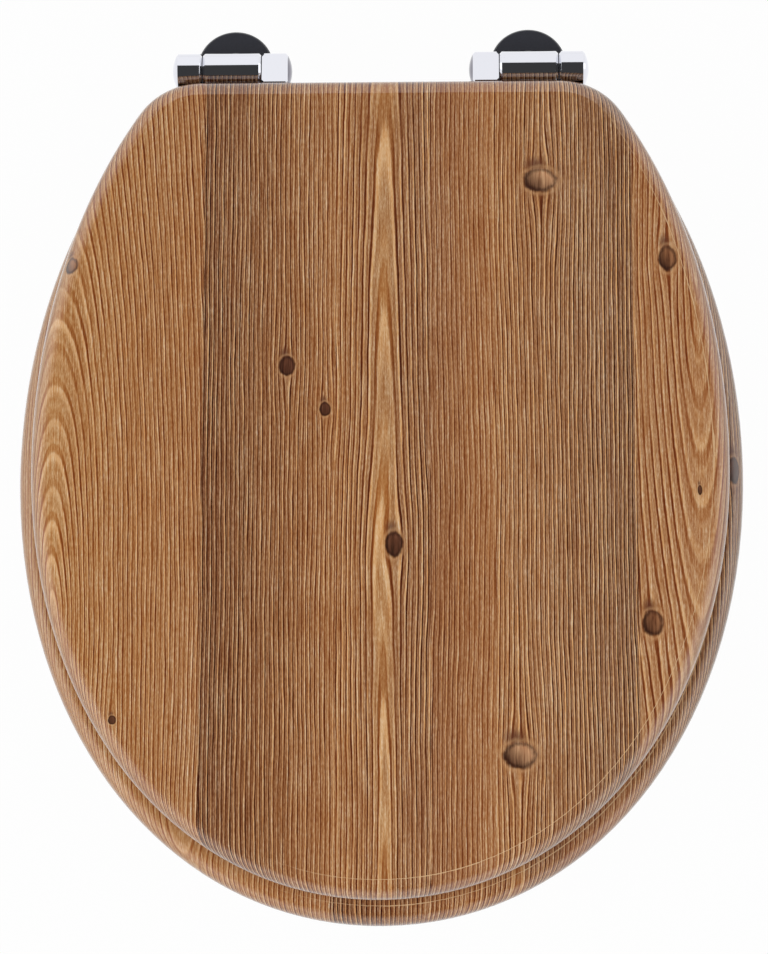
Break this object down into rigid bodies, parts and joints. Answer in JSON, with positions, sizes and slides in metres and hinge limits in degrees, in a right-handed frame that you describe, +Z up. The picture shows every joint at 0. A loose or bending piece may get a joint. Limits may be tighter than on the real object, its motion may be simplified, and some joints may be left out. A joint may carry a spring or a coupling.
{
  "type": "toilet seat",
  "caption": "Oval toilet seat with a wood-effect lid over a wood-effect ring, both rounded at the edges, on bright soft-close hinges fixed to the pan by studs.",
  "frame": {"origin": "midway between the two fixing studs, on the plane of the top of the toilet pan", "axes": "+Z up, -Y towards the front of the seat, +X to the right seen from the front"},
  "size_m": [0.37, 0.4798, 0.109],
  "materials": {
    "wood_effect_foil": "pine-coloured wood-effect foil under clear gloss lacquer",
    "chrome": "bright chrome plating",
    "dark_plastic": "dark blue-grey moulded plastic",
    "black_rubber": "black rubber",
    "pale_rubber": "pale grey rubber",
    "steel": "zinc-plated steel",
    "damper_plastic": "grey acetal plastic",
    "white_plastic": "white nylon"
  },
  "bodies": {
    "base": {"base_disc_left": "dark_plastic", "base_disc_right": "dark_plastic", "base_pad_left": "black_rubber", "base_pad_right": "black_rubber", "cone_washer_left": "black_rubber", "cone_washer_right": "black_rubber", "fixing_stud_left": "steel", "fixing_stud_right": "steel", "grub_screw_left": "steel", "grub_screw_right": "steel", "hinge_barrel_left": "chrome", "hinge_barrel_right": "chrome", "hinge_post_left": "steel", "hinge_post_right": "steel", "lid_damper_left": "damper_plastic", "lid_damper_right": "damper_plastic", "ring_damper_left": "damper_plastic", "ring_damper_right": "damper_plastic", "wing_nut_left": "white_plastic", "wing_nut_right": "white_plastic"},
    "ring": {"ring_arm_cap_left": "chrome", "ring_arm_cap_right": "chrome", "ring_arm_left": "chrome", "ring_arm_right": "chrome", "ring_arm_screws_left": "steel", "ring_arm_screws_right": "steel", "ring_buffer_back_left": "pale_rubber", "ring_buffer_back_right": "pale_rubber", "ring_buffer_front_left": "pale_rubber", "ring_buffer_front_right": "pale_rubber", "ring_damper_shaft_left": "damper_plastic", "ring_damper_shaft_right": "damper_plastic", "seat_ring": "wood_effect_foil"},
    "lid": {"lid": "wood_effect_foil", "lid_arm_cap_left": "chrome", "lid_arm_cap_right": "chrome", "lid_arm_left": "chrome", "lid_arm_right": "chrome", "lid_arm_screws_left": "steel", "lid_arm_screws_right": "steel", "lid_buffer_back_left": "pale_rubber", "lid_buffer_back_right": "pale_rubber", "lid_buffer_front_left": "pale_rubber", "lid_buffer_front_right": "pale_rubber", "lid_damper_shaft_left": "damper_plastic", "lid_damper_shaft_right": "damper_plastic"}
  },
  "joints": [
    {"name": "ring_lift", "type": "hinge", "parent": "base", "child": "ring", "pos_m": [0, -0.0125, 0.0305], "axis": [-1, 0, 0], "range_deg": [0, 92]},
    {"name": "lid_lift", "type": "hinge", "parent": "ring", "child": "lid", "pos_m": [0, -0.0125, 0.0305], "axis": [-1, 0, 0], "range_deg": [0, 93]}
  ]
}
